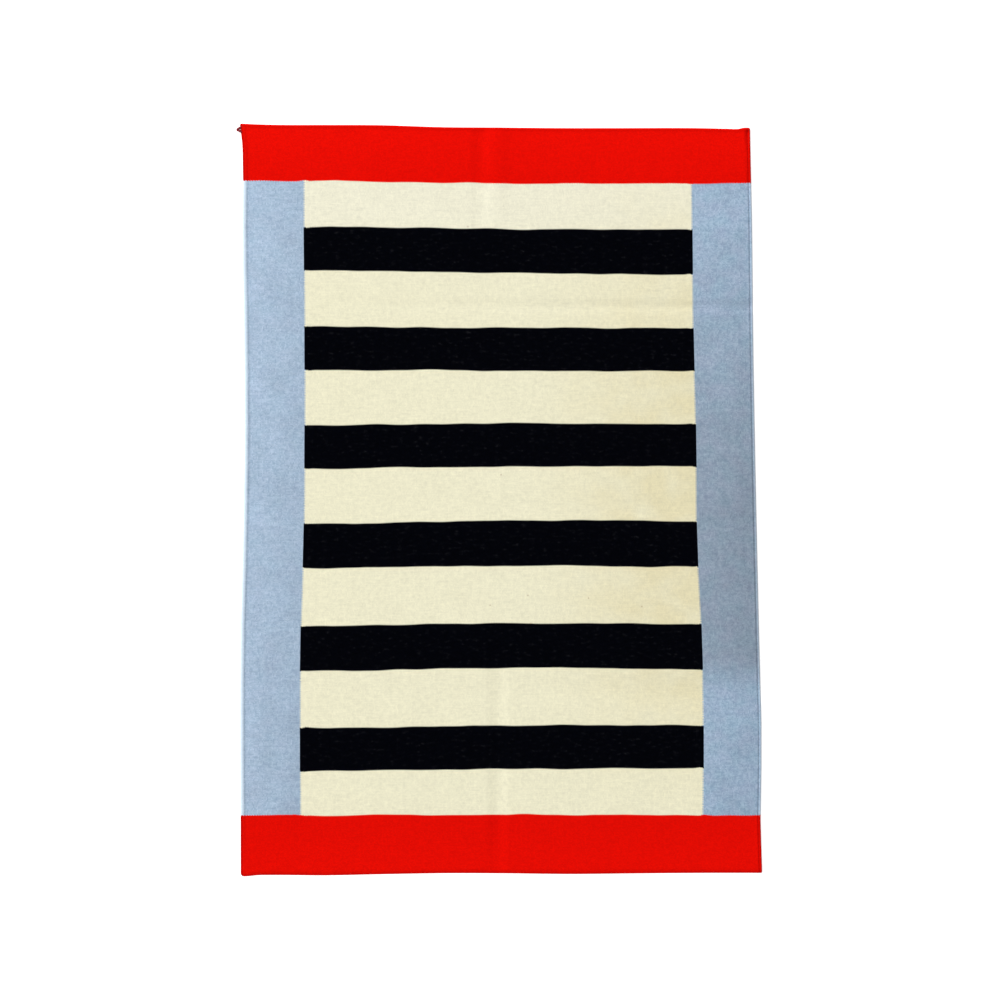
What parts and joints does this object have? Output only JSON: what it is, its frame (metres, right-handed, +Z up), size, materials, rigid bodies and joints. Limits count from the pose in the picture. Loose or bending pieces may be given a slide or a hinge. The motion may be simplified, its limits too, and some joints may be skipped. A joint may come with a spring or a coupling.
{
  "type": "wool rug",
  "caption": "Flat-woven wool floor rug lying flat, with ribbed selvedges, hemmed ends, striped middle and plain colour borders.",
  "frame": {"origin": "on the floor under the middle of the rug's outline box", "axes": "+X across the rug along the weft, +Y along its length and warp, +Z up out of its face"},
  "size_m": [1.254, 1.8078, 0.0075],
  "materials": {
    "wool_weave": "matt weft-faced wool weave: cream with black stripes, pale blue side borders and red end bands"
  },
  "bodies": {
    "root": {"rug": "wool_weave"}
  },
  "joints": []
}
